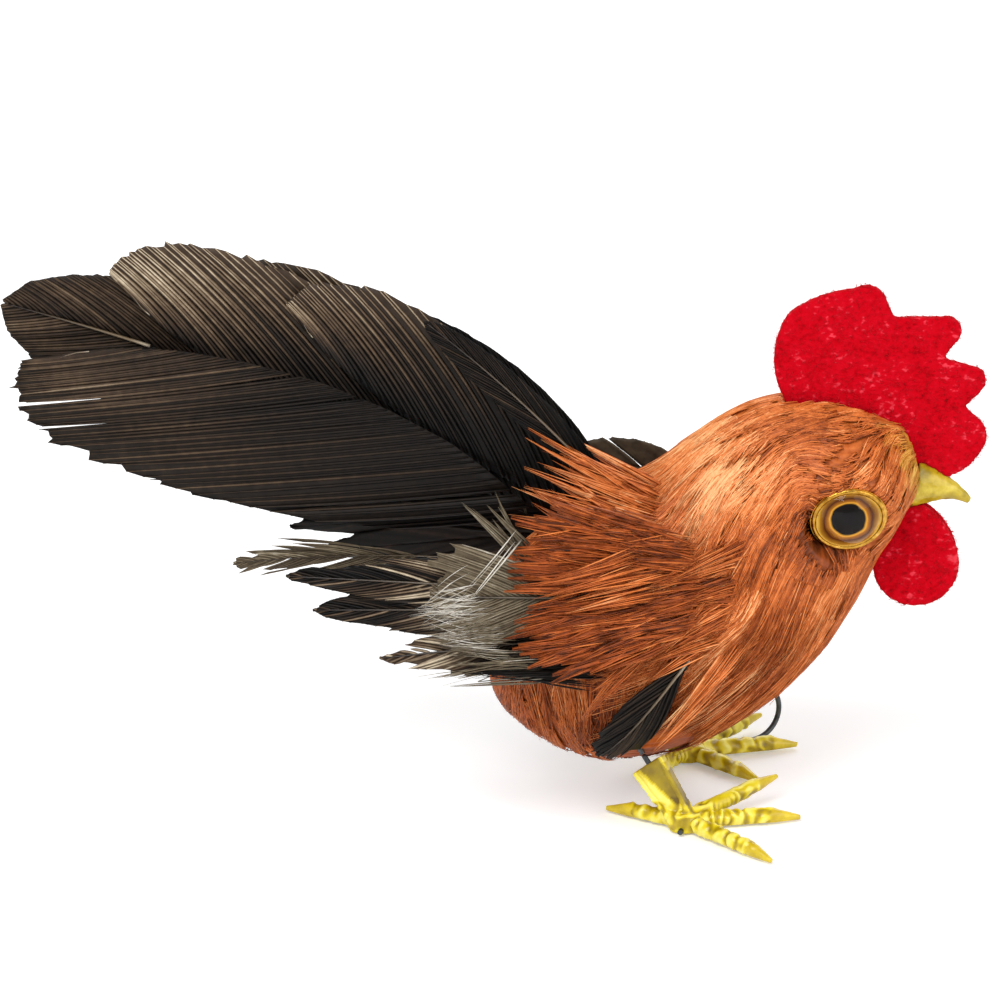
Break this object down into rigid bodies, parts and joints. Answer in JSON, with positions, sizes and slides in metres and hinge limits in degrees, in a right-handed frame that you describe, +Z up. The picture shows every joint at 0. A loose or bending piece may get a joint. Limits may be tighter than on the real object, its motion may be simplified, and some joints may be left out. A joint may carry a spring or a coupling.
{
  "type": "feathered rooster ornament",
  "caption": "Small standing rooster ornament: a foam body under dyed feathers, felt comb and wattles, craft eyes, and moulded feet on bendable wire legs.",
  "frame": {"origin": "on the ground, midway between the two heels", "axes": "+X forward through the beak, +Y to the bird's left, +Z up"},
  "size_m": [0.1253, 0.0475, 0.0748],
  "materials": {
    "foam": "closed-cell craft foam, seen nowhere from outside",
    "rust_fibre": "short dyed fibre, matted flat, orange rust, paler on the neck",
    "rust_feather": "fluffy dyed body feather, orange rust",
    "grey_feather": "soft grey-taupe covert feather with pale fluff",
    "brown_feather": "dark brown wing feather, tan at the base",
    "black_feather": "glossy brown-black tail feather with pale quill",
    "red_felt": "needled wool-like felt, fuzzy cut edge",
    "beak_plastic": "moulded yellow-olive plastic",
    "gilt": "bright gilt rim",
    "iris_paint": "amber brown paint with a black pupil",
    "clear_dome": "clear domed craft eye",
    "foot_plastic": "moulded yellow plastic, scaled toes, smooth claws",
    "steel_wire": "dark annealed steel wire"
  },
  "bodies": {
    "bird": {"beak": "beak_plastic", "breast_plumage": "rust_fibre", "comb": "red_felt", "foam_core": "foam", "left_covert_feather": "grey_feather", "left_eye_cup": "gilt", "left_eye_iris": "iris_paint", "left_eye_lens": "clear_dome", "left_flank_feather": "brown_feather", "left_primary_1": "brown_feather", "left_primary_2": "brown_feather", "left_primary_3": "brown_feather", "left_shoulder_plumage": "rust_feather", "left_wattle": "red_felt", "neck_plumage": "rust_fibre", "right_covert_feather": "grey_feather", "right_eye_cup": "gilt", "right_eye_iris": "iris_paint", "right_eye_lens": "clear_dome", "right_flank_feather": "brown_feather", "right_primary_1": "brown_feather", "right_primary_2": "brown_feather", "right_primary_3": "brown_feather", "right_shoulder_plumage": "rust_feather", "right_wattle": "red_felt", "saddle_plumage": "rust_fibre", "tail_feather_1": "black_feather", "tail_feather_2": "black_feather", "tail_feather_3": "black_feather", "tail_feather_4": "black_feather", "tail_feather_5": "black_feather", "tail_feather_6": "black_feather", "tail_feather_7": "black_feather", "tail_feather_8": "black_feather", "tail_wisp": "grey_feather", "vent_plumage": "rust_fibre"},
    "right_leg_root": {"right_wire_root": "steel_wire"},
    "right_leg": {"right_leg_wire": "steel_wire", "right_foot": "foot_plastic"},
    "left_leg_root": {"left_wire_root": "steel_wire"},
    "left_leg": {"left_leg_wire": "steel_wire", "left_foot": "foot_plastic"},
    "left_tie_wire": {"left_tie_wire": "steel_wire"}
  },
  "joints": [
    {"name": "right_leg_twist", "type": "hinge", "parent": "bird", "child": "right_leg_root", "pos_m": [-0.007, -0.009, 0.00863], "axis": [-0.5347, 0.3145, 0.7843], "range_deg": [-18, 5]},
    {"name": "right_leg_bend", "type": "hinge", "parent": "right_leg_root", "child": "right_leg", "pos_m": [-0.007, -0.009, 0.00863], "axis": [0, 1, 0], "range_deg": [-12, 12]},
    {"name": "left_leg_twist", "type": "hinge", "parent": "bird", "child": "left_leg_root", "pos_m": [-0.007, 0.009, 0.00863], "axis": [-0.5971, -0.2986, 0.7445], "range_deg": [-5, 18]},
    {"name": "left_leg_bend", "type": "hinge", "parent": "left_leg_root", "child": "left_leg", "pos_m": [-0.007, 0.009, 0.00863], "axis": [0, 1, 0], "range_deg": [-12, 12]},
    {"name": "left_tie_wire_bend", "type": "hinge", "parent": "left_leg", "child": "left_tie_wire", "pos_m": [0.00431, 0.01519, 0.00045], "axis": [0.515, -0.8572, 0], "range_deg": [-60, 25]}
  ]
}
